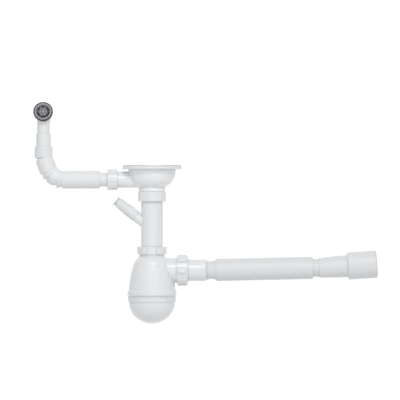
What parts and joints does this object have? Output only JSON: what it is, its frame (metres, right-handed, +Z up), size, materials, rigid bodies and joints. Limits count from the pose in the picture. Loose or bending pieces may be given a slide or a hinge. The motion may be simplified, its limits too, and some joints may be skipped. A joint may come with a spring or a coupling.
{
  "type": "sink bottle trap with overflow",
  "caption": "Plastic bottle trap for a kitchen sink: strainer bowl, tail pipe with appliance nozzle, screw-off sump, overflow hose with rosette, ribbed outlet hose.",
  "frame": {"origin": "centre of the gasket's top face, where the strainer's rim and the sink's floor lie", "axes": "+Z up along the tail pipe, +X along the outlet hose, the overflow rosette faces -Y"},
  "size_m": [0.6295, 0.11, 0.4053],
  "materials": {
    "white_plastic": "satin white moulded polypropylene",
    "hose_plastic": "soft white blown polypropylene",
    "grey_rubber": "matt grey rubber",
    "pale_rubber": "matt pale grey rubber",
    "dark_steel": "dark pressed stainless sheet",
    "steel_sheet": "pressed stainless sheet",
    "bright_steel": "bright screw",
    "brass": "plain turned brass"
  },
  "bodies": {
    "waste": {"waste_cup": "white_plastic", "flange_gasket": "pale_rubber", "strainer": "steel_sheet", "strainer_screw": "bright_steel", "clamp_insert": "brass", "overflow_hose": "hose_plastic"},
    "waste_seal": {"waste_seal": "grey_rubber"},
    "waste_nut": {"waste_nut": "white_plastic"},
    "overflow_seal": {"overflow_seal": "grey_rubber"},
    "overflow_nut": {"overflow_nut": "white_plastic"},
    "overflow_head": {"overflow_elbow": "white_plastic", "overflow_gasket": "grey_rubber", "overflow_rosette": "dark_steel", "overflow_screw": "bright_steel"},
    "tail": {"tail_pipe": "white_plastic", "appliance_nozzle": "white_plastic"},
    "appliance_plug": {"appliance_plug": "white_plastic"},
    "bottle_seal": {"bottle_seal": "grey_rubber"},
    "bottle": {"bottle_body": "white_plastic", "outlet_seal": "grey_rubber", "outlet_cuff": "hose_plastic", "outlet_bellows": "hose_plastic"},
    "bottle_slip_ring": {"bottle_slip_ring": "white_plastic"},
    "bottle_nut": {"bottle_nut": "white_plastic"},
    "sump_seal": {"sump_seal": "pale_rubber"},
    "sump_cup": {"sump_cup": "white_plastic"},
    "outlet_slip_ring": {"outlet_slip_ring": "white_plastic"},
    "outlet_nut": {"outlet_nut": "white_plastic"},
    "outlet_end": {"outlet_sleeve": "hose_plastic"}
  },
  "joints": [
    {"name": "waste_seal_slide", "type": "slide", "parent": "waste", "child": "waste_seal", "axis": [0, 0, -1], "range_m": [0, 0.009]},
    {"name": "waste_nut_turn", "type": "hinge", "parent": "waste_seal", "child": "waste_nut", "pos_m": [0, 0, -0.0608], "axis": [0, 0, -1], "range_deg": [0, 1080]},
    {"name": "overflow_seal_slide", "type": "slide", "parent": "waste", "child": "overflow_seal", "axis": [-1, 0, 0], "range_m": [0, 0.009]},
    {"name": "overflow_nut_turn", "type": "hinge", "parent": "overflow_seal", "child": "overflow_nut", "pos_m": [-0.0763, 0, -0.0258], "axis": [-1, 0, 0], "range_deg": [0, 1080]},
    {"name": "overflow_stretch", "type": "slide", "parent": "waste", "child": "overflow_head", "axis": [-1, 0, 0], "range_m": [0, 0.05], "deforming": ["overflow_hose"]},
    {"name": "tail_swivel", "type": "hinge", "parent": "waste", "child": "tail", "pos_m": [0, 0, -0.0608], "axis": [0, 0, 1], "continuous": true},
    {"name": "plug_pull", "type": "slide", "parent": "tail", "child": "appliance_plug", "axis": [-0.788, 0, 0.6157], "range_m": [0, 0.014]},
    {"name": "bottle_height", "type": "slide", "parent": "tail", "child": "bottle_seal", "axis": [0, 0, 1], "range_m": [-0.03, 0.025]},
    {"name": "bottle_swivel", "type": "hinge", "parent": "bottle_seal", "child": "bottle", "pos_m": [0, 0, -0.1546], "axis": [0, 0, 1], "continuous": true},
    {"name": "bottle_ring_slide", "type": "slide", "parent": "bottle", "child": "bottle_slip_ring", "axis": [0, 0, 1], "range_m": [0, 0.006]},
    {"name": "bottle_nut_turn", "type": "hinge", "parent": "bottle_slip_ring", "child": "bottle_nut", "pos_m": [0, 0, -0.1546], "axis": [0, 0, 1], "range_deg": [0, 720]},
    {"name": "sump_seal_slide", "type": "slide", "parent": "bottle", "child": "sump_seal", "axis": [0, 0, -1], "range_m": [0, 0.01]},
    {"name": "sump_cup_turn", "type": "hinge", "parent": "sump_seal", "child": "sump_cup", "pos_m": [0, 0, -0.239], "axis": [0, 0, -1], "range_deg": [0, 900]},
    {"name": "outlet_ring_slide", "type": "slide", "parent": "bottle", "child": "outlet_slip_ring", "axis": [1, 0, 0], "range_m": [0, 0.009]},
    {"name": "outlet_nut_turn", "type": "hinge", "parent": "outlet_slip_ring", "child": "outlet_nut", "pos_m": [0.06, 0, -0.1915], "axis": [1, 0, 0], "range_deg": [0, 1080]},
    {"name": "outlet_stretch", "type": "slide", "parent": "bottle", "child": "outlet_end", "axis": [0.9998, 0, 0.0218], "range_m": [0, 0.11], "deforming": ["outlet_bellows"]}
  ],
  "couplings": [
    {"joint": "waste_seal_slide", "follows": "waste_nut_turn", "m_per_rad": 0.00047746},
    {"joint": "overflow_seal_slide", "follows": "overflow_nut_turn", "m_per_rad": 0.00047746},
    {"joint": "bottle_ring_slide", "follows": "bottle_nut_turn", "m_per_rad": 0.00047746},
    {"joint": "sump_seal_slide", "follows": "sump_cup_turn", "m_per_rad": 0.00063661},
    {"joint": "outlet_ring_slide", "follows": "outlet_nut_turn", "m_per_rad": 0.00047746}
  ]
}
